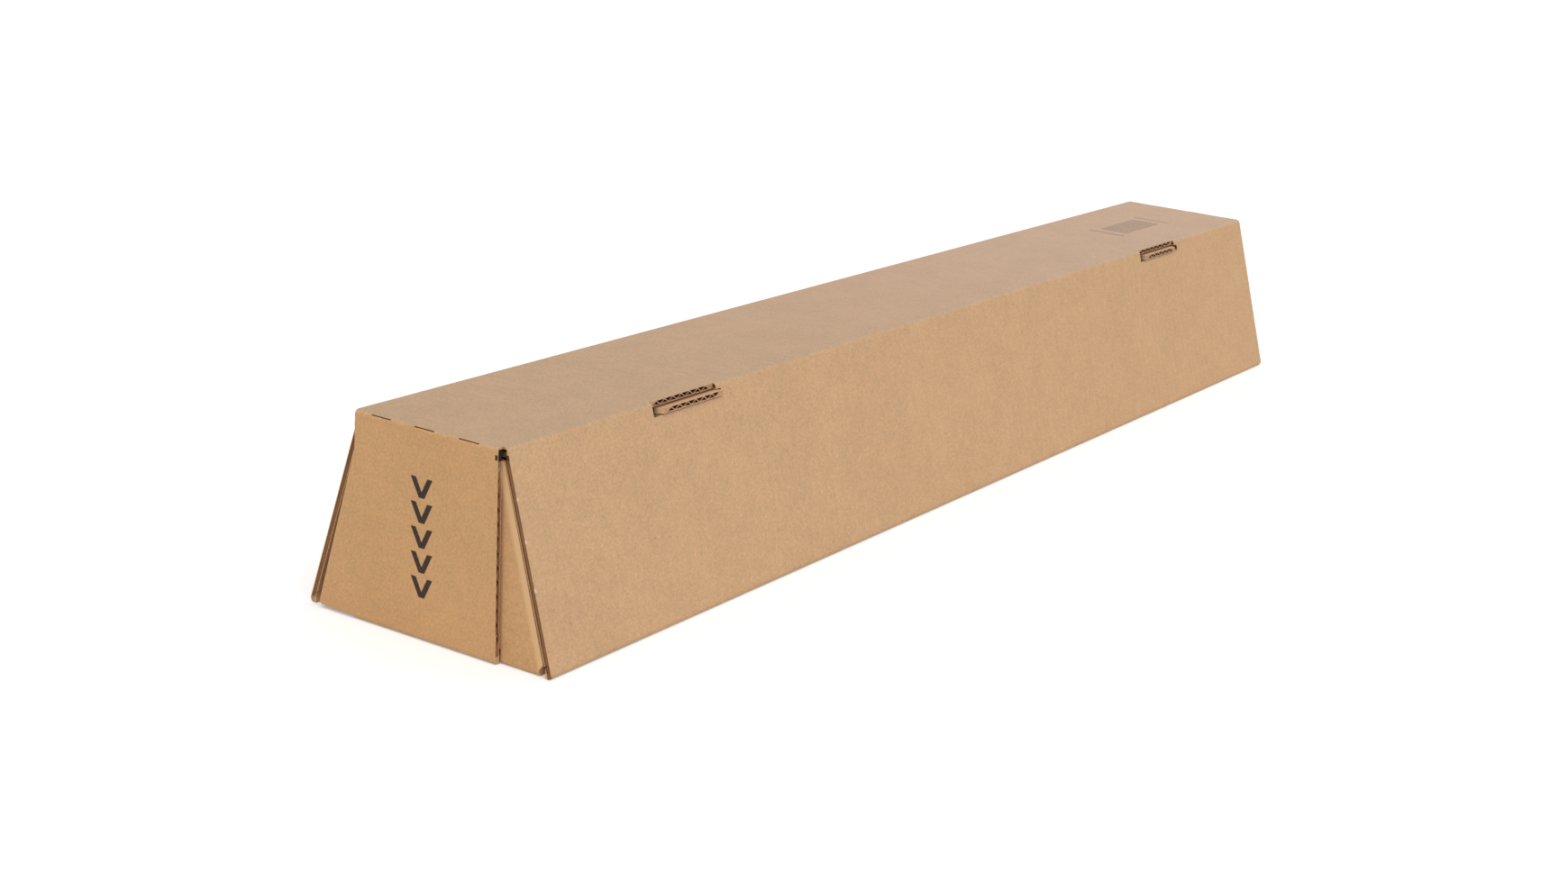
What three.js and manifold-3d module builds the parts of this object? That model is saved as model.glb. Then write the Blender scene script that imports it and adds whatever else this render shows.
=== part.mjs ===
// A trapezoid shipping box of corrugated board, closed. One blank is folded round into the
// sleeve: lid, front, base, back and an inner lid whose two tabs lock out through slots in
// the lid's front fold. Inner end flaps stand up from the base, and the two outer end flaps
// hang from the lid and tuck a tongue through a slit at the base's end.
// Millimetres. X runs along the box, the front panel faces -Y, Z is up. The origin is on
// the surface that the box stands on, under its middle.

import * as THREE from "three";
import { mergeVertices } from "three/addons/utils/BufferGeometryUtils.js";
import Module from "manifold-3d";

// The closed box, over its outer faces
const LENGTH = 620;
const HEIGHT = 77;
const BASE_WIDTH = 112;
const LID_WIDTH = 66;

// The board and how it folds
const BOARD = 2.2;
const LAYER_GAP = 0.3;
const FOLD_RADIUS = 1.8;
const FOLD_STEPS = 3;

// The slots in the lid's front fold and the tabs that come out through them, with each
// place measured from the box's left end. A tab is wider at its tip than the slot is in the
// lid, and the slot in the front panel is longer to let it through.
const LOCKS = [
  { slotStart: 82.5, slotEnd: 122, tipStart: 87.8, tipEnd: 124.4 },
  { slotStart: 491, slotEnd: 531.5, tipStart: 495, tipEnd: 529.5 },
];
const SLOT_FRONT_EXTRA = 3;
const SLOT_LID_DEPTH = 1;
const SLOT_FOOT_CLEARANCE = 0.5;
const TAB_SIDE_CLEARANCE = 0.5;
const TAB_PROUD = 1.4;
const TAB_ROOT = 4;
const TAB_NOTCH = 3;
const TAB_CHAMFER = 2.6;

// Inner end flaps
const INNER_FLAP_TOP_CLEARANCE = 0.5;
const INNER_FLAP_TOP_GAP = 0.3;
const INNER_FLAP_FRONT_GAP = 0.8;
const INNER_FLAP_BACK_GAP = 3.2;
const INNER_FLAP_CORNER = 2.4;
const RELIEF_DEPTH = 3.5;
const INNER_LID_SETBACK = 3;

// Outer end flaps
const FLAP_FRONT_INSET = 1.9;
const FLAP_FOOT_INSET = 0.2;
const WING_DROP = 14;
const WING_FOOT = 1.6;
const WING_GAP = 4.2;
const WING_CORNER = 2;
const FOOT_CLEARANCE = 0.3;
const TONGUE_INSET = 1;
const TONGUE_REACH = 18;
const TONGUE_RISE = THREE.MathUtils.degToRad(16);
const TONGUE_TAPER = 3;
const TONGUE_CORNER = 6;
const SLIT_SIDE_CLEARANCE = 0.3;
const SLIT_BASE_CLEARANCE = 0.4;
const SLIT_HEIGHT = 5.6;

// The relief hole where the lid's front fold meets the fold of the outer end flap
const CORNER_HOLE_DEPTH = 6;
const CORNER_HOLE_SKIN = 0.8;

// The three slits that weaken each lid end fold, as lengths along the fold
const CREASE_SLIT_MIDDLE = 1.6;
const CREASE_SLIT_LENGTH = 8.8;
const CREASE_SLIT_PITCH = 19.7;
const CREASE_SLIT_WIDTH = 0.5;
const CREASE_SLITS = 3;

// The flutes between the two faces of the board
const FLUTE_PITCH = 5.1;
const LINER = 0.3;
const MEDIUM = 0.3;
const FLUTE_FOOT = 0.4;
const FLUTE_SHOULDER = 0.19;
const FLUTE_SHOULDER_RISE = 0.62;
const FLUTE_END_MARGIN = 5;
const FLUTE_POCKET = 6;
const END_GROOVE = 2.5;

const CARDBOARD = 0xc4a07a;

// Places that follow from the sizes
const leftEnd = -LENGTH / 2;
const sleeveEnd = leftEnd + BOARD + LAYER_GAP;
const lidUnderside = HEIGHT - BOARD;
const innerLidTop = lidUnderside - LAYER_GAP;
const innerLidUnderside = innerLidTop - BOARD;
const lidFront = -LID_WIDTH / 2;
const lidBack = LID_WIDTH / 2;
const baseFront = -BASE_WIDTH / 2;
const baseBack = BASE_WIDTH / 2;
const flapFront = lidFront + FLAP_FRONT_INSET;
const flapFootFront = lidFront + FLAP_FOOT_INSET;
const tongueBack = lidBack - TONGUE_INSET;

const wasm = await Module();
wasm.setup();

const AXIS_X = new THREE.Vector3(1, 0, 0);
const AXIS_Y = new THREE.Vector3(0, 1, 0);
const AXIS_Z = new THREE.Vector3(0, 0, 1);

function toSolid(geometry) {
  geometry.deleteAttribute("normal");
  geometry.deleteAttribute("uv");
  const merged = mergeVertices(geometry, 1e-5);
  const vertProperties = new Float32Array(merged.attributes.position.array);
  const triVerts = new Uint32Array(merged.index.array);
  return new wasm.Manifold(new wasm.Mesh({ numProp: 3, vertProperties, triVerts }));
}

function toMesh(name, solid, color) {
  const { vertProperties, triVerts } = solid.getMesh();
  const geometry = new THREE.BufferGeometry();
  geometry.setAttribute("position", new THREE.BufferAttribute(vertProperties, 3));
  geometry.setIndex(new THREE.BufferAttribute(triVerts, 1));
  geometry.computeVertexNormals();
  const material = new THREE.MeshStandardMaterial({ color, roughness: 0.9, metalness: 0 });
  const mesh = new THREE.Mesh(geometry, material);
  mesh.name = name;
  return mesh;
}

function prism(shape, depth, matrix) {
  const options = { depth, bevelEnabled: false, curveSegments: FOLD_STEPS };
  return toSolid(new THREE.ExtrudeGeometry(shape, options).applyMatrix4(matrix));
}

// A shape drawn in Y and Z, carried along X
function prismAlongX(shape, from, to) {
  const matrix = new THREE.Matrix4().makeBasis(AXIS_Y, AXIS_Z, AXIS_X).setPosition(from, 0, 0);
  return prism(shape, to - from, matrix);
}

// A shape drawn in X and Z, carried along Y
function prismAlongY(shape, from, to) {
  const toFront = AXIS_Y.clone().negate();
  const matrix = new THREE.Matrix4().makeBasis(AXIS_X, AXIS_Z, toFront).setPosition(0, to, 0);
  return prism(shape, to - from, matrix);
}

// A shape drawn in X and Y, carried along Z
function prismAlongZ(shape, from, to) {
  return prism(shape, to - from, new THREE.Matrix4().setPosition(0, 0, from));
}

function outline(points) {
  return new THREE.Shape(points.map(([a, b]) => new THREE.Vector2(a, b)));
}

function block(x0, x1, y0, y1, z0, z1) {
  return prismAlongZ(outline([[x0, y0], [x1, y0], [x1, y1], [x0, y1]]), z0, z1);
}

function leftOf(direction) {
  return new THREE.Vector2(-direction.y, direction.x);
}

// The section of a board whose outer face follows the points, folding to the left at each of
// the inner ones: the fold is round outside and creased sharp inside, one board away
function bentBoard(points) {
  const corners = points.map(([a, b]) => new THREE.Vector2(a, b));
  const steps = corners.slice(1).map((to, i) => to.clone().sub(corners[i]).normalize());
  const folds = steps.slice(1).map((after, i) => {
    const before = steps[i];
    const turn = Math.atan2(before.cross(after), before.dot(after));
    const back = -FOLD_RADIUS * Math.tan(turn / 2);
    const start = corners[i + 1].clone().addScaledVector(before, back);
    const centre = start.clone().addScaledVector(leftOf(before), FOLD_RADIUS);
    const angle = start.clone().sub(centre).angle();
    return { centre, angle, turn, start };
  });
  const shape = new THREE.Shape();
  shape.moveTo(corners[0].x, corners[0].y);
  for (const { centre, angle, turn, start } of folds) {
    shape.lineTo(start.x, start.y);
    shape.absarc(centre.x, centre.y, FOLD_RADIUS, angle, angle + turn, false);
  }
  const last = corners.at(-1);
  const lastInner = last.clone().addScaledVector(leftOf(steps.at(-1)), BOARD);
  shape.lineTo(last.x, last.y);
  shape.lineTo(lastInner.x, lastInner.y);
  for (let i = folds.length - 1; i >= 0; i -= 1) {
    const inward = leftOf(steps[i]).add(leftOf(steps[i + 1]));
    const inner = corners[i + 1].clone().addScaledVector(inward, (2 * BOARD) / inward.lengthSq());
    shape.lineTo(inner.x, inner.y);
  }
  const firstInner = corners[0].clone().addScaledVector(leftOf(steps[0]), BOARD);
  shape.lineTo(firstInner.x, firstInner.y);
  return shape;
}

// The outer and inner faces of the front and back panels at a height
const levelThickness = (BOARD * Math.hypot(HEIGHT, baseBack - lidBack)) / HEIGHT;

function frontOuter(z) {
  return THREE.MathUtils.lerp(baseFront, lidFront, z / HEIGHT);
}

function frontInner(z) {
  return frontOuter(z) + levelThickness;
}

function backOuter(z) {
  return THREE.MathUtils.lerp(baseBack, lidBack, z / HEIGHT);
}

function backInner(z) {
  return backOuter(z) - levelThickness;
}

const innerLidFront = frontInner(innerLidTop) + LAYER_GAP;

function sleeve() {
  const section = bentBoard([
    [lidBack, HEIGHT],
    [lidFront, HEIGHT],
    [baseFront, 0],
    [baseBack, 0],
    [backOuter(innerLidTop), innerLidTop],
    [innerLidFront, innerLidTop],
  ]);
  return prismAlongX(section, sleeveEnd, -sleeveEnd);
}

// The opening in the lid's front fold: a strip off the lid's edge, a longer one off the top
// of the front panel, and a notch in the inner lid on each side of the tab
const slotLidEdge = lidFront + SLOT_LID_DEPTH;

function slotCut({ slotStart, slotEnd }) {
  const left = leftEnd + slotStart;
  const right = leftEnd + slotEnd;
  const foot = innerLidUnderside - SLOT_FOOT_CLEARANCE;
  const inside = innerLidFront - LAYER_GAP / 2;
  const inLid = block(left, right, baseFront, slotLidEdge, innerLidTop, HEIGHT + BOARD);
  const frontTop = lidUnderside;
  const inFront = block(left, right + SLOT_FRONT_EXTRA, baseFront, inside, foot, frontTop);
  const notchEnd = innerLidFront + TAB_NOTCH;
  const notchTop = innerLidTop + LAYER_GAP / 2;
  const inInnerLid = block(left, right + SLOT_FRONT_EXTRA, inside, notchEnd, foot, notchTop);
  return inLid.add(inFront).add(inInnerLid);
}

// A tab of the inner lid, with a chamfer at its left and a flare at its right that catches
// over the end of the slot
const tabTip = frontOuter(innerLidTop) - TAB_PROUD;

function lockTab({ slotEnd, tipStart, tipEnd }) {
  const left = leftEnd + tipStart - TAB_CHAMFER;
  const right = leftEnd + Math.min(slotEnd, tipEnd) - TAB_SIDE_CLEARANCE;
  const root = innerLidFront + TAB_ROOT;
  const plan = outline([
    [left, root],
    [left, tabTip + TAB_CHAMFER],
    [leftEnd + tipStart, tabTip],
    [leftEnd + tipEnd, tabTip],
    [right, slotLidEdge],
    [right, root],
  ]);
  return prismAlongZ(plan, innerLidUnderside, innerLidTop);
}

// The flutes seen in an edge cut along X: short pockets between the two faces of the board,
// from one height to the next, reaching along Y from the edge into the board
function edgeFlutes(from, to, underside, yFrom, yTo) {
  const first = Math.ceil((2 * (from - leftEnd)) / FLUTE_PITCH) + 1;
  const last = Math.floor((2 * (to - leftEnd)) / FLUTE_PITCH) - 1;
  const pockets = [];
  for (let i = first; i <= last; i += 1) {
    const x = leftEnd + (i * FLUTE_PITCH) / 2;
    const arch = fluteArch().map(([along, up]) => {
      const z = i % 2 === 0 ? underside + LINER + up : underside + BOARD - LINER - up;
      return [x + along, z];
    });
    pockets.push(prismAlongY(outline(arch), yFrom, yTo));
  }
  return pockets.reduce((all, pocket) => all.add(pocket));
}

function lockFlutes({ slotStart, slotEnd, tipStart, tipEnd }) {
  const slotFrom = leftEnd + slotStart;
  const slotTo = leftEnd + slotEnd;
  const slot = edgeFlutes(slotFrom, slotTo, lidUnderside, baseFront, slotLidEdge + FLUTE_POCKET);
  const tipFrom = leftEnd + tipStart;
  const tipTo = leftEnd + tipEnd;
  const tab = edgeFlutes(tipFrom, tipTo, innerLidUnderside, baseFront, tabTip + FLUTE_POCKET / 2);
  return slot.add(tab);
}

function lidBackFlutes() {
  const inside = lidBack - FLUTE_POCKET;
  return edgeFlutes(leftEnd + FOLD_RADIUS, -leftEnd - FOLD_RADIUS, lidUnderside, inside, baseBack);
}

// The inner end flap at the left end, from its fold on the base up to the inner lid
const innerFlapTop = innerLidUnderside - INNER_FLAP_TOP_CLEARANCE;
const innerFlapFrontFoot = frontInner(BOARD) + INNER_FLAP_FRONT_GAP + INNER_FLAP_CORNER;
const innerFlapBackFoot = backInner(BOARD) - INNER_FLAP_BACK_GAP;
const innerFlapCornerTop = BOARD + INNER_FLAP_CORNER;

function innerEndFlap() {
  const section = bentBoard([
    [sleeveEnd, innerFlapTop],
    [sleeveEnd, 0],
    [sleeveEnd + RELIEF_DEPTH + BOARD, 0],
  ]);
  const face = outline([
    [innerFlapFrontFoot, -BOARD],
    [innerFlapBackFoot, -BOARD],
    [innerFlapBackFoot, BOARD],
    [backInner(innerFlapTop) - INNER_FLAP_TOP_GAP, innerFlapTop],
    [frontInner(innerFlapTop) + INNER_FLAP_TOP_GAP, innerFlapTop],
    [frontInner(innerFlapCornerTop) + INNER_FLAP_FRONT_GAP, innerFlapCornerTop],
    [innerFlapFrontFoot, BOARD],
  ]);
  const strip = prismAlongY(section, baseFront, baseBack);
  return strip.intersect(prismAlongX(face, leftEnd, leftEnd + TONGUE_REACH));
}

// What is cut from the left end of the sleeve: the base's edge with a relief on each side of
// the inner flap, the end of the inner lid, and the relief hole at the lid's front corner
function endCuts() {
  const reliefBack = backInner(BOARD) - LAYER_GAP;
  const reliefFront = frontInner(BOARD) + LAYER_GAP;
  const reliefEnd = sleeveEnd + RELIEF_DEPTH;
  const base = block(leftEnd, reliefEnd, reliefFront, reliefBack, -BOARD, BOARD * 2);
  const lidEnd = sleeveEnd + INNER_LID_SETBACK;
  const lidTop = innerLidTop + LAYER_GAP / 2;
  const lidCutBack = backInner(innerLidUnderside);
  const insideFront = innerLidFront - LAYER_GAP / 2;
  const inner = block(leftEnd, lidEnd, insideFront, lidCutBack, innerFlapTop, lidTop);
  const holeEnd = sleeveEnd + CORNER_HOLE_DEPTH;
  const holeFront = lidFront + LINER;
  const holeTop = HEIGHT - CORNER_HOLE_SKIN;
  const hole = block(leftEnd, holeEnd, holeFront, flapFront, innerLidUnderside, holeTop);
  return base.add(inner).add(hole);
}

// The open flute along the cut end of the front and back panels, between the board's faces
function endGrooves() {
  const face = (LINER * levelThickness) / BOARD;
  const low = BOARD;
  const high = innerLidUnderside;
  const front = outline([
    [frontOuter(low) + face, low],
    [frontInner(low) - face, low],
    [frontInner(high) - face, high],
    [frontOuter(high) + face, high],
  ]);
  const back = outline([
    [backInner(low) + face, low],
    [backOuter(low) - face, low],
    [backOuter(high) - face, high],
    [backInner(high) + face, high],
  ]);
  const inside = sleeveEnd + END_GROOVE;
  return prismAlongX(front, leftEnd, inside).add(prismAlongX(back, leftEnd, inside));
}

// The outer end flap at the left end with the strip of lid that carries it, as one bent
// board: the lid, the fold at its end, the flap, the fold at its foot and the tongue
const footCentre = FOOT_CLEARANCE + FOLD_RADIUS;
const footCorner =
  footCentre -
  FOLD_RADIUS * Math.cos(TONGUE_RISE) -
  FOLD_RADIUS * (1 + Math.sin(TONGUE_RISE)) * Math.tan(TONGUE_RISE);
const lidStripEnd = sleeveEnd + BOARD;

function endStrip(from, to) {
  const tipHeight = footCorner + TONGUE_REACH * Math.tan(TONGUE_RISE);
  const section = bentBoard([
    [lidStripEnd, HEIGHT],
    [leftEnd, HEIGHT],
    [leftEnd, footCorner],
    [leftEnd + TONGUE_REACH, tipHeight],
  ]);
  return prismAlongY(section, from, to);
}

// The lid's side of the plane that halves the fold at its left end, moved by a distance
function lidSide(shift) {
  const reach = BOARD * 4;
  const along = shift * Math.SQRT1_2;
  const wedge = outline([
    [leftEnd - reach + along, HEIGHT + reach + along],
    [leftEnd + reach + along, HEIGHT - reach + along],
    [leftEnd + reach + along, HEIGHT + reach + along],
  ]);
  return prismAlongY(wedge, baseFront, baseBack);
}

// The short cuts through the left end fold, which let it bend
function creaseSlits() {
  const inward = new THREE.Vector2(1, -1).normalize();
  const across = new THREE.Vector2(1, 1).normalize();
  const corner = new THREE.Vector2(leftEnd, HEIGHT);
  const at = (depth, side) => {
    const point = corner.clone().addScaledVector(inward, depth).addScaledVector(across, side);
    return [point.x, point.y];
  };
  const half = CREASE_SLIT_WIDTH / 2;
  const deep = BOARD * 2;
  const section = outline([at(-BOARD, -half), at(deep, -half), at(deep, half), at(-BOARD, half)]);
  const slits = [];
  for (let i = 0; i < CREASE_SLITS; i += 1) {
    const middle = CREASE_SLIT_MIDDLE + (i - (CREASE_SLITS - 1) / 2) * CREASE_SLIT_PITCH;
    const reach = CREASE_SLIT_LENGTH / 2;
    slits.push(prismAlongY(section, middle - reach, middle + reach));
  }
  return slits.reduce((all, slit) => all.add(slit));
}

// The flap's face: straight down the front, and a wing at the back that follows the sleeve
function flapFace() {
  const foot = -FOLD_RADIUS;
  const toe = backInner(WING_FOOT) - WING_GAP;
  const wingTop = HEIGHT - WING_DROP;
  const edge = new THREE.Vector2(lidBack - toe, wingTop - WING_FOOT).setLength(WING_CORNER);
  const shape = new THREE.Shape();
  shape.moveTo(flapFront, HEIGHT);
  shape.lineTo(flapFootFront, foot);
  shape.lineTo(tongueBack, foot);
  shape.lineTo(tongueBack, WING_FOOT);
  shape.lineTo(toe - WING_CORNER, WING_FOOT);
  shape.quadraticCurveTo(toe, WING_FOOT, toe + edge.x, WING_FOOT + edge.y);
  shape.lineTo(lidBack, wingTop);
  shape.lineTo(lidBack, HEIGHT);
  return prismAlongX(shape, leftEnd - BOARD, leftEnd + BOARD);
}

// The tongue's outline from above, narrower at its rounded tip
function tonguePlan() {
  const front = flapFootFront;
  const back = tongueBack;
  const tip = leftEnd + TONGUE_REACH;
  const shape = new THREE.Shape();
  shape.moveTo(leftEnd - BOARD, front);
  shape.lineTo(leftEnd + BOARD, front);
  shape.lineTo(tip - TONGUE_CORNER, front + TONGUE_TAPER);
  shape.quadraticCurveTo(tip, front + TONGUE_TAPER, tip, front + TONGUE_TAPER + TONGUE_CORNER);
  shape.lineTo(tip, back - TONGUE_TAPER - TONGUE_CORNER);
  shape.quadraticCurveTo(tip, back - TONGUE_TAPER, tip - TONGUE_CORNER, back - TONGUE_TAPER);
  shape.lineTo(leftEnd + BOARD, back);
  shape.lineTo(leftEnd - BOARD, back);
  return prismAlongZ(shape, -BOARD, SLIT_HEIGHT * 2);
}

// One flute's void in section: along the board, and up from one liner towards the other
function fluteArch() {
  const rise = BOARD - 2 * LINER - MEDIUM;
  return [
    [-FLUTE_FOOT * FLUTE_PITCH, 0],
    [FLUTE_FOOT * FLUTE_PITCH, 0],
    [FLUTE_SHOULDER * FLUTE_PITCH, FLUTE_SHOULDER_RISE * rise],
    [0, rise],
    [-FLUTE_SHOULDER * FLUTE_PITCH, FLUTE_SHOULDER_RISE * rise],
  ];
}

// The flutes of the left flap, which run level and come out at its front and back edges
function flapFlutes() {
  const low = footCentre + FLUTE_END_MARGIN;
  const high = HEIGHT - FOLD_RADIUS - FLUTE_END_MARGIN;
  const count = Math.floor((2 * (high - low)) / FLUTE_PITCH);
  const voids = [];
  for (let i = 0; i <= count; i += 1) {
    const z = high - (i * FLUTE_PITCH) / 2;
    const outward = i % 2 === 0;
    const arch = fluteArch().map(([along, up]) => {
      const x = outward ? leftEnd + LINER + up : leftEnd + BOARD - LINER - up;
      return [x, z + along];
    });
    voids.push(prismAlongY(outline(arch), baseFront, baseBack));
  }
  return voids.reduce((all, flute) => all.add(flute));
}

function tongueSlit() {
  const flat = footCentre - FOLD_RADIUS * Math.cos(TONGUE_RISE);
  const flatStart = FOLD_RADIUS * (1 + Math.sin(TONGUE_RISE));
  const overBase = flatStart + (BOARD + LAYER_GAP - flat) / Math.tan(TONGUE_RISE);
  const end = leftEnd + overBase + SLIT_BASE_CLEARANCE;
  const front = flapFootFront - SLIT_SIDE_CLEARANCE;
  const back = tongueBack + SLIT_SIDE_CLEARANCE;
  return block(leftEnd, end, front, back, -BOARD, SLIT_HEIGHT);
}

function leftEndFlap() {
  const strip = endStrip(baseFront, baseBack).subtract(lidSide(-LAYER_GAP / 2));
  const shaped = strip.intersect(flapFace().add(tonguePlan()));
  return shaped.subtract(flapFlutes()).subtract(creaseSlits());
}

function leftLidEnd() {
  return endStrip(flapFront, lidBack).intersect(lidSide(LAYER_GAP / 2)).subtract(creaseSlits());
}

function mirrored(solid) {
  return solid.mirror([1, 0, 0]);
}

function boxBlank() {
  let blank = sleeve();
  for (const lock of LOCKS) {
    blank = blank.subtract(slotCut(lock)).add(lockTab(lock)).subtract(lockFlutes(lock));
  }
  const ends = endCuts().add(endGrooves());
  const added = innerEndFlap().subtract(tongueSlit()).add(leftLidEnd());
  const slit = tongueSlit();
  blank = blank.subtract(ends).subtract(mirrored(ends));
  blank = blank.subtract(slit).subtract(mirrored(slit));
  return blank.add(added).add(mirrored(added)).subtract(lidBackFlutes());
}

const box = new THREE.Group();
box.add(toMesh("box_blank", boxBlank(), CARDBOARD));
box.add(toMesh("left_end_flap", leftEndFlap(), CARDBOARD));
box.add(toMesh("right_end_flap", mirrored(leftEndFlap()), CARDBOARD));

export default box;
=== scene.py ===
# %% [markdown]
# A trapezoid shipping box of brown corrugated board
#
# The imported model already holds the folded blank, its slots and tabs, the open flutes and the
# two end flaps at their real size. This file gives them their looks. It starts with the frame,
# because every place further on is worked out from it, and it keeps the model's box.

# %% Load the frame and take its sizes
import math

import bmesh
import bpy
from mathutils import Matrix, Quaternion, Vector


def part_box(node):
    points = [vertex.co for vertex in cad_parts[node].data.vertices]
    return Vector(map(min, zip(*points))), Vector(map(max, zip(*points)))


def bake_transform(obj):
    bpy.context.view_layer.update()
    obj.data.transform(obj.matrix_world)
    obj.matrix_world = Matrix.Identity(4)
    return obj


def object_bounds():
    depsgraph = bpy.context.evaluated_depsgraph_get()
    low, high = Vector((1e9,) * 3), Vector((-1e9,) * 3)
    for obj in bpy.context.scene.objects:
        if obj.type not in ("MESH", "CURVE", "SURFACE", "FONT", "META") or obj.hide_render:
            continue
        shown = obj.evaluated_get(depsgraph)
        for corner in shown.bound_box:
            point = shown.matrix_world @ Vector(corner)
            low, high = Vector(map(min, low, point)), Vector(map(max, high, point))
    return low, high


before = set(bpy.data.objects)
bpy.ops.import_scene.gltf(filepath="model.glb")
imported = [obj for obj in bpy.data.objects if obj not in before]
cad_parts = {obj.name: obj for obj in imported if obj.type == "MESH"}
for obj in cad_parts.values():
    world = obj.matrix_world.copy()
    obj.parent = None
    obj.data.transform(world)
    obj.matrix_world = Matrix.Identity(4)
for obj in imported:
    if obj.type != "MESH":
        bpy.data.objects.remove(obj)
CAD_LOW, CAD_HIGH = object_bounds()
BLANK_LOW, BLANK_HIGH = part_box("box_blank")

MM = 0.001
LID_TOP = CAD_HIGH.z
END_FACE = CAD_HIGH.x
BLANK_END = BLANK_HIGH.x
print("box in mm:", [round(v / MM, 1) for v in CAD_HIGH - CAD_LOW])
print("blank in mm:", [round(v / MM, 1) for v in BLANK_HIGH - BLANK_LOW])

# %% [markdown]
# The camera
#
# The photo was taken from close to the near end, a little above the lid, and tipped by about
# four degrees. The place, the line of sight and the lens come from a fit of the box's corners,
# so no shift is needed: the middle of the picture is the middle of the lens.

# %% Set the camera
EYE = Vector((-0.8849, -0.5084, 0.3023))
SIGHT = Vector((0.8101, 0.5152, -0.2799))
ROLL = math.radians(3.93)
LENS_MM = 53.78
SENSOR_MM = 36


def new_object(name, data):
    piece = bpy.data.objects.new(name, data)
    bpy.context.scene.collection.objects.link(piece)
    return piece


camera_data = bpy.data.cameras.new("camera")
camera_data.lens = LENS_MM
camera_data.sensor_width = SENSOR_MM
camera_data.clip_start = 0.01
camera_data.clip_end = 100
camera = new_object("camera", camera_data)
camera.location = EYE
camera.rotation_mode = "QUATERNION"
camera.rotation_quaternion = SIGHT.to_track_quat("-Z", "Y") @ Quaternion((0, 0, 1), ROLL)
bpy.context.scene.camera = camera
bpy.context.scene.view_settings.view_transform = "Standard"
print("camera at", [round(v, 3) for v in EYE], "lens", LENS_MM, "mm")

# %% [markdown]
# The floor and the light
#
# Board is matt, so it needs no reflections, only an even light that lets its colour read as it
# is written. A pale surround gives most of it, and one wide sun from the camera's left adds the
# soft shadow that sets the box down on the floor. The floor runs well past the picture, and
# shines a little for the rays that only show the background, so that it comes out white.

# %% Make the floor, the surround and the sun
WHITE = (1, 1, 1, 1)
FLOOR_SIZE = 40
FLOOR_COLOUR = (0.93, 0.93, 0.93, 1)
FLOOR_ROUGHNESS = 0.9
FLOOR_SHINE = 0.1
FLOOR_LIFT = 0.2
SURROUND_LIGHT = 0.56
SUN_STRENGTH = 1.45
SUN_SPREAD = math.radians(50)
TO_SUN = Vector((-0.36, -0.36, 0.86))


def mesh_from(name, work):
    mesh = bpy.data.meshes.new(name)
    work.to_mesh(mesh)
    work.free()
    return new_object(name, mesh)


def seen_rays(tree):
    """1 for a ray that shows the background, directly or in a shine or a glass, else 0."""
    rays = tree.nodes.new("ShaderNodeLightPath")
    total = rays.outputs["Is Camera Ray"]
    for kind in ("Is Glossy Ray", "Is Transmission Ray"):
        more = tree.nodes.new("ShaderNodeMath")
        more.operation = "MAXIMUM"
        tree.links.new(total, more.inputs[0])
        tree.links.new(rays.outputs[kind], more.inputs[1])
        total = more.outputs[0]
    return total


def pale_floor():
    material = bpy.data.materials.new("pale floor")
    material.use_nodes = True
    tree = material.node_tree
    shader = tree.nodes["Principled BSDF"]
    shader.inputs["Base Color"].default_value = FLOOR_COLOUR
    shader.inputs["Roughness"].default_value = FLOOR_ROUGHNESS
    shader.inputs["Specular IOR Level"].default_value = FLOOR_SHINE
    shader.inputs["Emission Color"].default_value = WHITE
    lift = tree.nodes.new("ShaderNodeMath")
    lift.operation = "MULTIPLY"
    lift.inputs[1].default_value = FLOOR_LIFT
    tree.links.new(seen_rays(tree), lift.inputs[0])
    tree.links.new(lift.outputs[0], shader.inputs["Emission Strength"])
    return material


def pale_surround():
    world = bpy.data.worlds.new("surround")
    world.use_nodes = True
    nodes = world.node_tree.nodes
    links = world.node_tree.links
    lighting = nodes["Background"]
    lighting.inputs["Color"].default_value = WHITE
    lighting.inputs["Strength"].default_value = SURROUND_LIGHT
    backdrop = nodes.new("ShaderNodeBackground")
    backdrop.inputs["Color"].default_value = WHITE
    backdrop.inputs["Strength"].default_value = 1
    seen = nodes.new("ShaderNodeMixShader")
    links.new(seen_rays(world.node_tree), seen.inputs[0])
    links.new(lighting.outputs[0], seen.inputs[1])
    links.new(backdrop.outputs[0], seen.inputs[2])
    links.new(seen.outputs[0], nodes["World Output"].inputs["Surface"])
    return world


floor_work = bmesh.new()
bmesh.ops.create_grid(floor_work, x_segments=1, y_segments=1, size=FLOOR_SIZE / 2)
floor = mesh_from("floor", floor_work)
floor.data.materials.append(pale_floor())
bpy.context.scene.world = pale_surround()

sun_data = bpy.data.lights.new("sun", "SUN")
sun_data.energy = SUN_STRENGTH
sun_data.angle = SUN_SPREAD
sun = new_object("sun", sun_data)
sun.rotation_mode = "QUATERNION"
sun.rotation_quaternion = TO_SUN.to_track_quat("Z", "Y")
print("floor", FLOOR_SIZE, "m wide, sun", SUN_STRENGTH)

# %% [markdown]
# Helpers for a material made of numbers
#
# A print, a cut edge or a fleck is a region: somewhere that a few sums on the point's own
# coordinates come out between two values. Each helper here adds one such sum to the material
# as a node, so that the finish further on reads like a formula. A region could also be painted
# on an image, but sums stay sharp at any distance and need no unwrapping.

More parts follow.
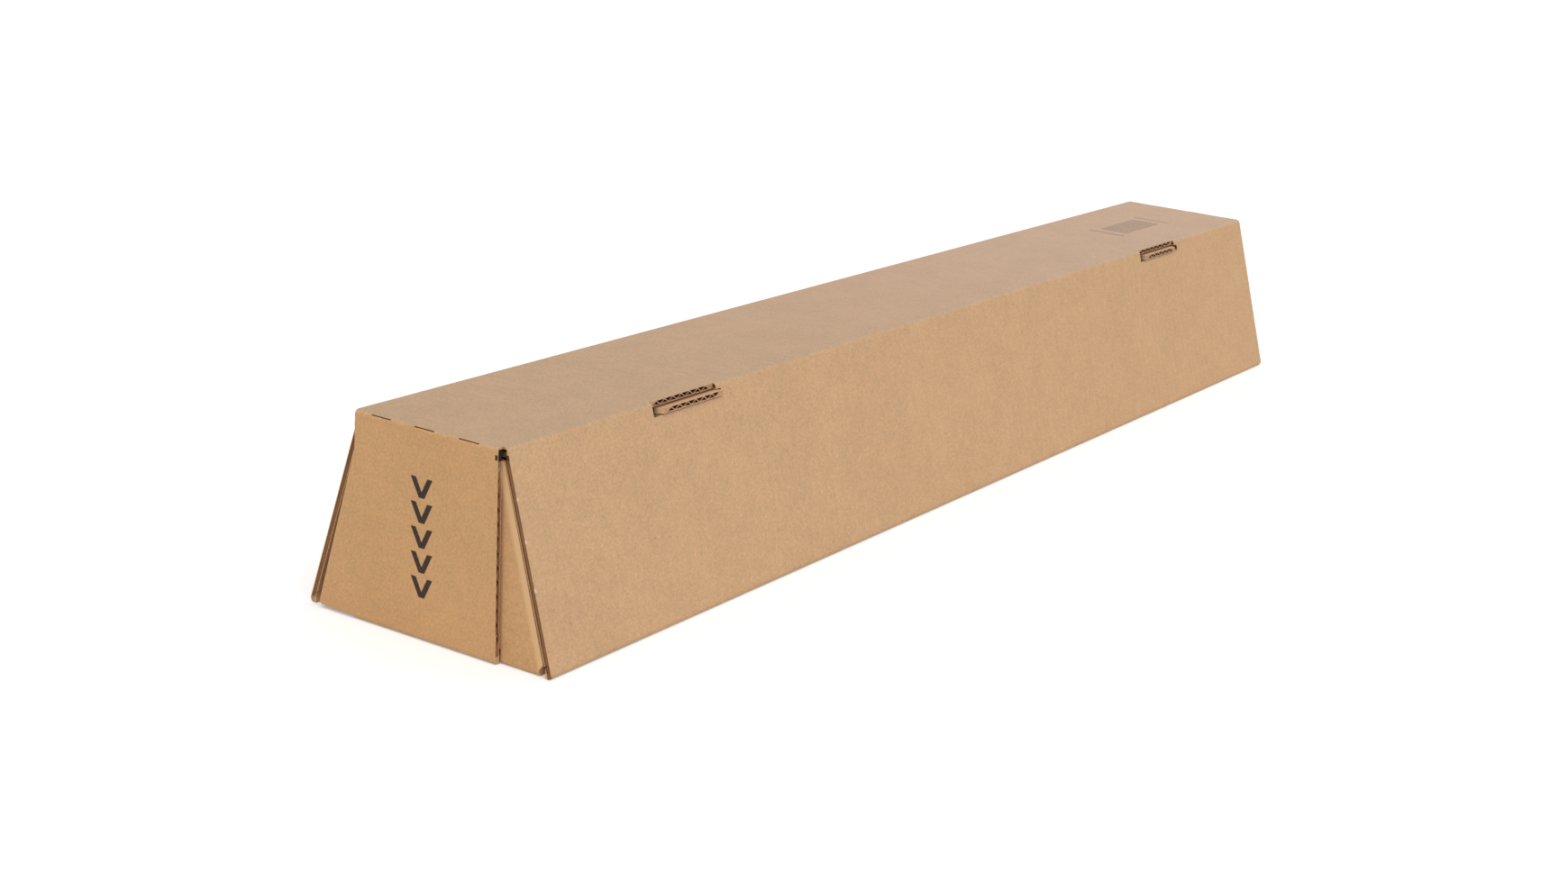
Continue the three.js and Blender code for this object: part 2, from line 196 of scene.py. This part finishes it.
# %% Define the node helpers
class Sums:
    """Adds nodes to one material and joins them up."""

    def __init__(self, tree):
        self.tree = tree

    def node(self, kind, **settings):
        made = self.tree.nodes.new(kind)
        for key, value in settings.items():
            setattr(made, key, value)
        return made

    def feed(self, socket, value):
        if isinstance(value, bpy.types.NodeSocket):
            self.tree.links.new(value, socket)
        else:
            socket.default_value = value

    def do(self, operation, *values):
        made = self.node("ShaderNodeMath", operation=operation)
        for socket, value in zip(made.inputs, values):
            self.feed(socket, value)
        return made.outputs[0]

    def plus(self, first, second):
        return self.do("ADD", first, second)

    def minus(self, first, second):
        return self.do("SUBTRACT", first, second)

    def times(self, first, second):
        return self.do("MULTIPLY", first, second)

    def size(self, value):
        return self.do("ABSOLUTE", value)

    def ramp(self, value, low, high, to_low=0.0, to_high=1.0):
        made = self.node("ShaderNodeMapRange", interpolation_type="SMOOTHSTEP")
        for name, number in (
            ("Value", value),
            ("From Min", low),
            ("From Max", high),
            ("To Min", to_low),
            ("To Max", to_high),
        ):
            self.feed(made.inputs[name], number)
        return made.outputs[0]

    def above(self, value, limit):
        return self.do("GREATER_THAN", value, limit)

    def below(self, value, limit):
        return self.do("LESS_THAN", value, limit)

    def inside(self, value, low, high):
        return self.times(self.above(value, low), self.below(value, high))

    def both(self, first, *others):
        for other in others:
            first = self.times(first, other)
        return first

    def either(self, first, *others):
        for other in others:
            first = self.do("MAXIMUM", first, other)
        return first

    def noise(self, where, scale, detail=2.0, roughness=0.5):
        made = self.node("ShaderNodeTexNoise")
        self.feed(made.inputs["Vector"], where)
        self.feed(made.inputs["Scale"], scale)
        self.feed(made.inputs["Detail"], detail)
        self.feed(made.inputs["Roughness"], roughness)
        return made.outputs["Fac"]

    def mix(self, share, first, second, kind="MIX"):
        made = self.node("ShaderNodeMix", data_type="RGBA", blend_type=kind)
        self.feed(made.inputs[0], share)
        self.feed(made.inputs[6], first)
        self.feed(made.inputs[7], second)
        return made.outputs[2]


def srgb(red, green, blue):
    """A colour given as a screen shows it, from 0 to 255, as the shader wants it."""
    def linear(value):
        value /= 255
        return value / 12.92 if value <= 0.04045 else ((value + 0.055) / 1.055) ** 2.4
    return (linear(red), linear(green), linear(blue), 1)


print("helpers ready")

# %% [markdown]
# Where a point is on the box
#
# Every region is told by a point's place and by the way its face looks. Both are read from the
# piece itself, so a pattern stays put when a flap turns. The depth is how far a point lies
# outside the sloping front or back panel, measured level, and it is below zero inside the box.
# Some regions end a slack of a tenth of a millimetre past the face that they cover.

# %% Measure a point's place
BOARD = 2.2 * MM
LINER = 0.3 * MM
SLACK = 0.1 * MM
SKIN = 0.06 * MM
TOP_HALF_WIDTH = 33 * MM
BASE_HALF_WIDTH = 56 * MM
WALL_LEAN = (BASE_HALF_WIDTH - TOP_HALF_WIDTH) / LID_TOP
LOOKS_PARTLY = 0.5
LOOKS_ALONG = 0.7
LOOKS_STRAIGHT = 0.9
LOOKS_MOSTLY = 0.95
LOOKS_SQUARE = 0.985
LOOKS_PAST = 0.02


class Place:
    """The place of a point, and which way its face looks, as sums of one material."""

    def __init__(self, s):
        coordinates = s.node("ShaderNodeTexCoord")
        self.spot = coordinates.outputs["Object"]
        point = s.node("ShaderNodeSeparateXYZ")
        s.feed(point.inputs[0], self.spot)
        self.x, self.y, self.z = point.outputs
        facing = s.node("ShaderNodeSeparateXYZ")
        s.feed(facing.inputs[0], coordinates.outputs["Normal"])
        self.face_x = s.size(facing.outputs[0])
        self.face_y = s.size(facing.outputs[1])
        self.face_z = facing.outputs[2]
        self.from_middle = s.size(self.x)
        self.below_lid = s.minus(LID_TOP, self.z)
        past_top = s.minus(s.size(self.y), TOP_HALF_WIDTH)
        self.depth = s.minus(past_top, s.times(self.below_lid, WALL_LEAN))
        self.behind = s.above(self.y, 0.0)
        self.before = s.below(self.y, 0.0)
        self.wall_of_flute = s.below(self.face_y, LOOKS_PAST)


print("panels lean", round(math.degrees(math.atan(WALL_LEAN)), 1), "degrees inwards")

# %% [markdown]
# Kraft paper
#
# The outside of the board is unbleached kraft paper: a brown that is never even. Close to, it
# has soft blotches a couple of centimetres wide, a fine tooth of fibres, and pale and dark
# flecks. The glued flutes show through as a faint washboard, a line every flute. One colour
# over everything would look like plastic, so noises of three sizes are added up, from a faint
# one for the blotches to a stronger one for the tooth.

# %% Make the paper's colour and grain
FLUTE_PITCH = 5.1 * MM
# Kraft as it looks lit on each kind of face: the differences between these four tones are
# painted light.
LID_NEAR_KRAFT_AS_LIT = srgb(192, 161, 131)
LID_FAR_KRAFT_AS_LIT = srgb(200, 170, 146)
SIDE_KRAFT_AS_LIT = srgb(204, 166, 127)
END_KRAFT_AS_LIT = srgb(203, 159, 112)
WARM_TINT = srgb(255, 250, 246)
PALE_FLECK = srgb(226, 200, 168)
DARK_FLECK = srgb(150, 112, 78)
WARM_PATCHES = (0.35, 0.7, 0.0, 0.5)
PALE_FLECKS = (0.70, 0.78, 0.0, 0.55)
DARK_FLECKS = (0.28, 0.20, 0.0, 0.5)
WASHBOARD_PATCHES = (0.35, 0.65, 0.3, 1.0)
SOFT_GRAIN = (3, 0.6)
FINE_GRAIN = (4, 0.75)
BLOTCH_SCALE = 38
CLOUD_SCALE = 200
TOOTH_SCALE = 1000
FLECK_SCALE = 900
PATCH_SCALE = 14
NOISE_LOW = 0.3
NOISE_HIGH = 0.7
BLOTCH_SHADE = 0.025
CLOUD_SHADE = 0.035
TOOTH_SHADE = 0.12
WASHBOARD_SHADE = 0.012
WASHBOARD_RISE = 0.02 * MM
TOOTH_RISE = 0.03 * MM
RISE_STRENGTH = 0.6


def swing(s, noise, shade):
    """A noise turned into a lightening and darkening by up to the given shade."""
    return s.ramp(noise, NOISE_LOW, NOISE_HIGH, -shade, shade)


def washboard(s, at):
    """The flutes run round the girth in the sleeve, and level in the end flaps."""
    on_end = s.above(at.face_x, LOOKS_ALONG)
    travel = s.plus(s.times(on_end, at.z), s.times(s.minus(1.0, on_end), at.x))
    wave = s.do("SINE", s.times(travel, 2 * math.pi / FLUTE_PITCH))
    return s.times(wave, s.ramp(s.noise(at.spot, PATCH_SCALE, 1), *WASHBOARD_PATCHES))


def paper_colour(s, at, tooth, flutes):
    # The tone per face direction is painted light: the lid paler and cooler than the front and
    # back, the end flaps a deeper brown, and the lid lighter towards its far end.
    lid = s.mix(s.ramp(at.x, -END_FACE, END_FACE), LID_NEAR_KRAFT_AS_LIT, LID_FAR_KRAFT_AS_LIT)
    faces_up = s.ramp(at.face_z, LOOKS_PARTLY, LOOKS_MOSTLY)
    faces_out = s.ramp(at.face_x, LOOKS_PARTLY, LOOKS_MOSTLY)
    colour = s.mix(s.both(faces_up, s.above(at.z, LID_TOP - BOARD)), SIDE_KRAFT_AS_LIT, lid)
    colour = s.mix(faces_out, colour, END_KRAFT_AS_LIT)

    cloud = s.noise(at.spot, CLOUD_SCALE, *SOFT_GRAIN)
    colour = s.mix(s.ramp(cloud, *WARM_PATCHES), colour, WARM_TINT, "MULTIPLY")
    shade = swing(s, s.noise(at.spot, BLOTCH_SCALE, *SOFT_GRAIN), BLOTCH_SHADE)
    shade = s.plus(shade, swing(s, cloud, CLOUD_SHADE))
    shade = s.plus(shade, swing(s, tooth, TOOTH_SHADE))
    shade = s.plus(shade, s.times(flutes, WASHBOARD_SHADE))
    value = s.node("ShaderNodeHueSaturation")
    s.feed(value.inputs["Value"], s.plus(shade, 1.0))
    s.feed(value.inputs["Color"], colour)

    flecks = s.noise(at.spot, FLECK_SCALE, 1)
    colour = s.mix(s.ramp(flecks, *PALE_FLECKS), value.outputs[0], PALE_FLECK)
    return s.mix(s.ramp(flecks, *DARK_FLECKS), colour, DARK_FLECK)


print("flutes every", round(FLUTE_PITCH / MM, 1), "mm")

# %% [markdown]
# Cut edges
#
# Where the board is cut, the darker paper between its two liners shows, and the open flutes
# are darker still with painted shade. The cuts at the slots and tabs are fresh and pale, while
# the long cuts at the ends of the front and back panels run along one open flute, darkened with
# painted shade at the front and paler at the back. Three small tears on the near edge of the
# front panel leave pale fibres across it.

# %% Colour the cut edges
MEDIUM_KRAFT = srgb(150, 108, 78)
LOCK_CUT_KRAFT = srgb(188, 150, 118)
SHADED_MEDIUM = srgb(84, 52, 36)
SHADED_GROOVE_KRAFT = srgb(138, 94, 66)
BACK_GROOVE_KRAFT = srgb(178, 138, 100)
TORN_PAPER = srgb(226, 196, 164)
FLAP_CUT_FOOT = 3 * MM
POCKET = 6 * MM
END_GROOVE = 2.5 * MM
TORN_HEIGHTS = (60 * MM, 46 * MM, 30 * MM)
TORN_HALF = 0.6 * MM
TORN_DEPTH = BOARD * 0.8
TAB_SKIN = LINER * 1.5


def cut_edges(s, at, colour):
    across_cut = s.either(s.above(at.face_y, LOOKS_SQUARE), at.wall_of_flute)
    lid_cut = s.both(
        s.inside(at.z, LID_TOP - BOARD + LINER, LID_TOP - LINER),
        across_cut,
        s.below(at.from_middle, BLANK_END - BOARD),
    )
    tab_cut = s.both(
        s.inside(at.z, LID_TOP - 2 * BOARD, LID_TOP - BOARD - TAB_SKIN),
        s.below(at.y, -TOP_HALF_WIDTH + POCKET / 2),
        s.below(s.size(at.face_z), LOOKS_MOSTLY),
        across_cut,
    )
    flap_cut = s.both(
        s.inside(at.from_middle, END_FACE - BOARD + LINER, END_FACE - LINER),
        s.inside(at.z, FLAP_CUT_FOOT, LID_TOP - BOARD),
        s.either(s.above(at.face_y, LOOKS_PARTLY), at.wall_of_flute),
    )
    lock_cut = s.either(lid_cut, tab_cut)
    colour = s.mix(flap_cut, colour, MEDIUM_KRAFT)
    colour = s.mix(lock_cut, colour, LOCK_CUT_KRAFT)
    in_flute = s.both(s.either(lock_cut, flap_cut), at.wall_of_flute)
    return s.mix(in_flute, colour, SHADED_MEDIUM)


def panel_ends(s, at, colour):
    groove = s.both(
        s.inside(at.depth, -BOARD + LINER / 2, -LINER + SKIN),
        s.above(at.from_middle, BLANK_END - END_GROOVE - SLACK),
        s.below(at.z, LID_TOP - 2 * BOARD),
    )
    # The groove at the front is the medium darkened with painted shade; the groove at the back
    # is a paler medium.
    colour = s.mix(s.both(groove, at.before), colour, SHADED_GROOVE_KRAFT)
    colour = s.mix(s.both(groove, at.behind), colour, BACK_GROOVE_KRAFT)
    torn = s.both(
        s.either(*[s.inside(at.z, rise - TORN_HALF, rise + TORN_HALF) for rise in TORN_HEIGHTS]),
        s.inside(at.depth, -TORN_DEPTH, SLACK),
        s.below(at.x, -BLANK_END + END_GROOVE + SLACK),
        at.before,
    )
    return s.mix(torn, colour, TORN_PAPER)


print("tears:", len(TORN_HEIGHTS))

# %% [markdown]
# Shades in the narrow gaps
#
# Beside the front panel the inner end flap is bent a little and catches more light, which is
# painted as a pale strip. It is darker in a soft line along the outer flap's front edge, and in
# the gap beside the back panel. The corner hole, the tabs' roots under the lid's edge and the
# left corner of each slot are dark too. Light alone leaves these gaps paler than they are on the
# real box, so the paper itself is given the shade.

# %% Shade the inner flap, the hole and the slots
BENT_PALE_KRAFT = srgb(224, 184, 136)
EDGE_SHADE_KRAFT = srgb(146, 94, 62)
BACK_GAP_KRAFT = srgb(112, 70, 46)
TAB_ROOT_KRAFT = srgb(122, 78, 54)
HOLE_DARK = srgb(44, 28, 20)
BENT_STRIP = 4.5 * MM
BENT_SHARE = 0.8
BACK_GAP = 4.8 * MM
BACK_GAP_START = 2.1 * MM
FLAP_TOP_INSET = 1.9 * MM
FLAP_FOOT_INSET = 0.2 * MM
FLAP_EDGE_LEAN = (FLAP_TOP_INSET - FLAP_FOOT_INSET) / LID_TOP
EDGE_SHADE = 1.5 * MM
EDGE_SHARE = 0.6
HOLE_REACH = 6.6 * MM
HOLE_SKIN = 0.8 * MM
HOLE_WIDTH = 2.2 * MM
SLOT_STARTS = (-END_FACE + 82.5 * MM, -END_FACE + 491 * MM)
SLOT_CORNER = 4.8 * MM
SLOT_CORNER_DARK = 1.5 * MM
SLOT_CORNER_SHARE = 0.85
SLOT_FRONT = 4 * MM
SLOT_BACK = 2 * MM
ROOT_FRONT = 1.0 * MM
ROOT_BACK = 0.8 * MM


def inner_flap_shades(s, at, colour):
    on_flap = s.both(s.above(at.face_x, LOOKS_ALONG), s.below(at.from_middle, BLANK_END + SLACK))
    in_back_gap = s.inside(at.depth, -BOARD - BACK_GAP, -BOARD - BACK_GAP_START)
    colour = s.mix(s.both(on_flap, in_back_gap, at.behind), colour, BACK_GAP_KRAFT)

    edge = s.minus(-TOP_HALF_WIDTH + FLAP_TOP_INSET, s.times(at.below_lid, FLAP_EDGE_LEAN))
    past_edge = s.minus(edge, at.y)
    # A painted shadow of the outer flap's front edge, soft on both sides, lies on the inner flap
    # here.
    edge_shadow = s.both(
        on_flap,
        s.ramp(past_edge, -EDGE_SHADE, 0.0),
        s.ramp(past_edge, EDGE_SHADE, 0.0, 0.0, EDGE_SHARE),
    )
    colour = s.mix(edge_shadow, colour, EDGE_SHADE_KRAFT)

    bend = s.both(
        on_flap,
        s.ramp(at.depth, -BOARD - BENT_STRIP, -BOARD - BENT_STRIP / 2),
        s.below(at.depth, -BOARD),
        at.before,
        BENT_SHARE,
    )
    return s.mix(bend, colour, BENT_PALE_KRAFT)


def corner_hole(s, at, colour):
    hole = s.both(
        s.inside(at.from_middle, BLANK_END - HOLE_REACH, BLANK_END + 3 * SLACK),
        s.inside(at.z, LID_TOP - 2 * BOARD - 4 * SLACK, LID_TOP - HOLE_SKIN),
        s.inside(at.y, -TOP_HALF_WIDTH + SLACK, -TOP_HALF_WIDTH + HOLE_WIDTH),
    )
    return s.mix(hole, colour, HOLE_DARK)


def slot_shades(s, at, colour):
    corners = []
    for start in SLOT_STARTS:
        fade = s.ramp(at.x, start + SLOT_CORNER, start + SLOT_CORNER_DARK)
        corners.append(s.both(s.above(at.x, start - SLACK), fade))
    corner = s.both(
        s.either(*corners),
        s.inside(at.z, LID_TOP - 2 * BOARD - 12 * SLACK, LID_TOP - BOARD - SLACK),
        s.above(s.size(at.depth), SKIN),
        s.inside(at.y, -TOP_HALF_WIDTH - SLOT_FRONT, -TOP_HALF_WIDTH + SLOT_BACK),
        SLOT_CORNER_SHARE,
    )
    colour = s.mix(corner, colour, HOLE_DARK)
    root = s.both(
        s.above(at.face_z, LOOKS_STRAIGHT),
        s.inside(at.z, LID_TOP - BOARD - 5 * SLACK, LID_TOP - BOARD - SLACK),
        s.ramp(at.y, -TOP_HALF_WIDTH - ROOT_FRONT, -TOP_HALF_WIDTH + ROOT_BACK),
    )
    return s.mix(root, colour, TAB_ROOT_KRAFT)


print("slots start at", [round(start / MM, 1) for start in SLOT_STARTS], "mm")

# %% [markdown]
# Kraft board
#
# The board's finish puts the paper, the print, the cut edges and the shades on top of each
# other in that order. It is matt, a little rougher where the tooth stands up, and the washboard
# and tooth also tilt the light through a bump. They are under a tenth of a millimetre high, too
# little to model.

# %% Put the kraft board together
SHADES = (cut_edges, panel_ends, inner_flap_shades, corner_hole, slot_shades)
ROUGHNESS = (0.78, 0.95)
SHINE = 0.25
REFRACTION = 1.45


def kraft_board(name, marks=None):
    material = bpy.data.materials.new(name)
    material.use_nodes = True
    shader = material.node_tree.nodes["Principled BSDF"]
    s = Sums(material.node_tree)
    at = Place(s)
    tooth = s.noise(at.spot, TOOTH_SCALE, *FINE_GRAIN)
    flutes = washboard(s, at)

    colour = paper_colour(s, at, tooth, flutes)
    if marks is not None:
        colour = marks(s, at, tooth, colour)
    for shade in SHADES:
        colour = shade(s, at, colour)
    s.feed(shader.inputs["Base Color"], colour)

    s.feed(shader.inputs["Roughness"], s.ramp(tooth, NOISE_LOW, NOISE_HIGH, *ROUGHNESS))
    shader.inputs["Specular IOR Level"].default_value = SHINE
    shader.inputs["IOR"].default_value = REFRACTION

    bump = s.node("ShaderNodeBump")
    bump.inputs["Strength"].default_value = RISE_STRENGTH
    bump.inputs["Distance"].default_value = 1.0
    rise = s.plus(s.times(flutes, WASHBOARD_RISE), s.times(tooth, TOOTH_RISE))
    s.feed(bump.inputs["Height"], rise)
    s.feed(shader.inputs["Normal"], bump.outputs[0])
    return material


print("layers over the paper:", len(SHADES))

# %% [markdown]
# The print
#
# Five open arrowheads point down the near end flap, towards the slit that its tongue goes into,
# and a faint block of plain bars lies at the far end of the lid, with a rule before and after
# it. Each is a region in the material: the arrowhead's arm is as wide at every height, and
# moves towards the middle as it goes down. A little noise frays its edges as ink on board does.

# %% Make the printed boards
INK = srgb(50, 41, 41)
FAINT_INK = srgb(146, 126, 116)
INK_FRAY = 0.25 * MM
INK_STRENGTH = (0.25, 0.75, 1.0, 0.92)
FAINT_STRENGTH = (NOISE_LOW, NOISE_HIGH, 0.95, 0.6)
ARROWS = 5
ARROW_TOP = 59.2 * MM
ARROW_TOP_MIDDLE = 1.95 * MM
ARROW_LEAN = 0.027
ARROW_PITCH = 8.98 * MM
ARROW_HEIGHT = 7.3 * MM
ARROW_HALF = 4.95 * MM
ARROW_POINT_HALF = 1.3 * MM
ARROW_STROKE = 2.4 * MM
RULE_NEAR = 210.5 * MM
RULE_FAR = 266 * MM
RULE_WIDTH = 1.7 * MM
RULE_FRONT = -10 * MM
RULE_BACK = 10 * MM
BLOCK_FROM = 219 * MM
BLOCK_TO = 259 * MM
BLOCK_FRONT = -8 * MM
BLOCK_BACK = 7.5 * MM
BAR_PITCH = 2.5 * MM
BAR_SHARE = 0.6


def frayed(s, tooth):
    return s.times(s.minus(tooth, 0.5), INK_FRAY)


def arrow_marks(s, at, tooth, colour):
    fray = frayed(s, tooth)
    fall = s.minus(ARROW_TOP, at.z)
    middle = s.minus(ARROW_TOP_MIDDLE, s.times(fall, ARROW_LEAN))
    side = s.size(s.minus(at.y, middle))
    down = s.do("FLOORED_MODULO", fall, ARROW_PITCH)
    narrowing = (ARROW_HALF - ARROW_POINT_HALF) / ARROW_HEIGHT
    outer = s.minus(ARROW_HALF, s.times(down, narrowing))
    mark = s.both(
        s.inside(s.plus(s.minus(outer, side), fray), 0, ARROW_STROKE),
        s.inside(s.plus(down, fray), 0, ARROW_HEIGHT),
        s.inside(fall, 0, ARROWS * ARROW_PITCH),
        s.below(at.x, -END_FACE + SLACK / 2),
    )
    return s.mix(s.times(mark, s.ramp(tooth, *INK_STRENGTH)), colour, INK)


def bar_marks(s, at, tooth, colour):
    fray = frayed(s, tooth)
    step = s.do("FLOORED_MODULO", s.minus(at.x, BLOCK_FROM), BAR_PITCH)
    across = s.plus(at.y, fray)
    bars = s.both(
        s.below(s.plus(step, fray), BAR_PITCH * BAR_SHARE),
        s.inside(at.x, BLOCK_FROM, BLOCK_TO),
        s.inside(across, BLOCK_FRONT, BLOCK_BACK),
    )
    near_rule = s.inside(at.x, RULE_NEAR, RULE_NEAR + RULE_WIDTH)
    far_rule = s.inside(at.x, RULE_FAR - RULE_WIDTH, RULE_FAR)
    rules = s.both(s.either(near_rule, far_rule), s.inside(across, RULE_FRONT, RULE_BACK))
    on_top = s.both(s.above(at.face_z, LOOKS_STRAIGHT), s.above(at.z, LID_TOP - LINER))
    strength = s.ramp(tooth, *FAINT_STRENGTH)
    return s.mix(s.both(s.either(bars, rules), on_top, strength), colour, FAINT_INK)


def dress(node, material):
    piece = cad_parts[node]
    piece.data.materials.clear()
    piece.data.materials.append(material)


dress("box_blank", kraft_board("kraft board, lid print", bar_marks))
dress("left_end_flap", kraft_board("kraft board, arrow print", arrow_marks))
plain_board = kraft_board("kraft board")
dress("right_end_flap", plain_board)
print("arrows:", ARROWS, "bars:", round((BLOCK_TO - BLOCK_FROM) / BAR_PITCH))

# %% [markdown]
# The liner over each end fold
#
# The lid and its end flap are one sheet, and the outer paper runs over the fold without a
# break, apart from three short cuts. The frame has the two sides of the fold as separate
# pieces, because they turn on each other. A thin strip of paper is bent over the fold here:
# an edge is spun through a quarter turn round the fold's centre, and its ends are drawn out on
# to the lid and the flap.

# %% Bend the paper over the end folds
FOLD_RADIUS = 1.8 * MM
FOLD_STEPS = 12
PAPER = 0.05 * MM
PAPER_LIFT = 0.03 * MM
TAIL = 0.8 * MM
SHARP_EDGE = math.radians(30)
SAME_PLACE = 0.001 * MM
CUTS = 3
CUT_MIDDLE = 1.6 * MM
CUT_LENGTH = 8.8 * MM
CUT_PITCH = 19.7 * MM
FOLD_FRONT = -TOP_HALF_WIDTH + FLAP_TOP_INSET
FOLD_BACK = TOP_HALF_WIDTH


def fold_spans():
    """The stretches of fold between the cuts, from front to back."""
    marks = [FOLD_FRONT]
    for i in range(CUTS):
        middle = CUT_MIDDLE + (i - (CUTS - 1) / 2) * CUT_PITCH
        marks += [middle - CUT_LENGTH / 2, middle + CUT_LENGTH / 2]
    marks.append(FOLD_BACK)
    return list(zip(marks[::2], marks[1::2]))


def draw_out(work, edges, step):
    """Draws edges out by a step, and gives back the new vertices and edges."""
    drawn = bmesh.ops.extrude_edge_only(work, edges=edges)["geom"]
    verts = [v for v in drawn if isinstance(v, bmesh.types.BMVert)]
    bmesh.ops.translate(work, verts=verts, vec=step)
    return verts, [e for e in drawn if isinstance(e, bmesh.types.BMEdge)]


def fold_paper(name, side):
    """The strip at the left end for side -1, and at the right end for side 1."""
    work = bmesh.new()
    centre = Vector((END_FACE - FOLD_RADIUS, 0, LID_TOP - FOLD_RADIUS))
    top = LID_TOP + PAPER_LIFT
    for front, back in fold_spans():
        start = [work.verts.new((centre.x - TAIL, y, top)) for y in (front, back)]
        edge = work.edges.new(start)
        corner, edges = draw_out(work, [edge], (TAIL, 0, 0))
        spun = bmesh.ops.spin(work, geom=corner + edges, cent=centre, axis=(0, 1, 0),
                              angle=math.pi / 2, steps=FOLD_STEPS)["geom_last"]
        last = [e for e in spun if isinstance(e, bmesh.types.BMEdge)]
        draw_out(work, last, (0, 0, -TAIL))
    bmesh.ops.remove_doubles(work, verts=work.verts, dist=SAME_PLACE)
    if side < 0:
        bmesh.ops.scale(work, verts=work.verts, vec=(-1, 1, 1))
    bmesh.ops.recalc_face_normals(work, faces=work.faces)
    if work.faces[0].normal.z < 0:
        bmesh.ops.reverse_faces(work, faces=work.faces)
    bmesh.ops.solidify(work, geom=work.faces, thickness=PAPER)
    bmesh.ops.recalc_face_normals(work, faces=work.faces)
    for face in work.faces:
        face.smooth = True
    for edge in work.edges:
        edge.smooth = edge.calc_face_angle(math.pi) < SHARP_EDGE
    paper = mesh_from(name, work)
    paper.data.materials.append(plain_board)
    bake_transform(paper)
    return paper


left_paper = fold_paper("left_fold_paper", -1)
right_paper = fold_paper("right_fold_paper", 1)
for paper in (left_paper, right_paper):
    print(paper.name, "spans:", len(fold_spans()), "faces:", len(paper.data.polygons))
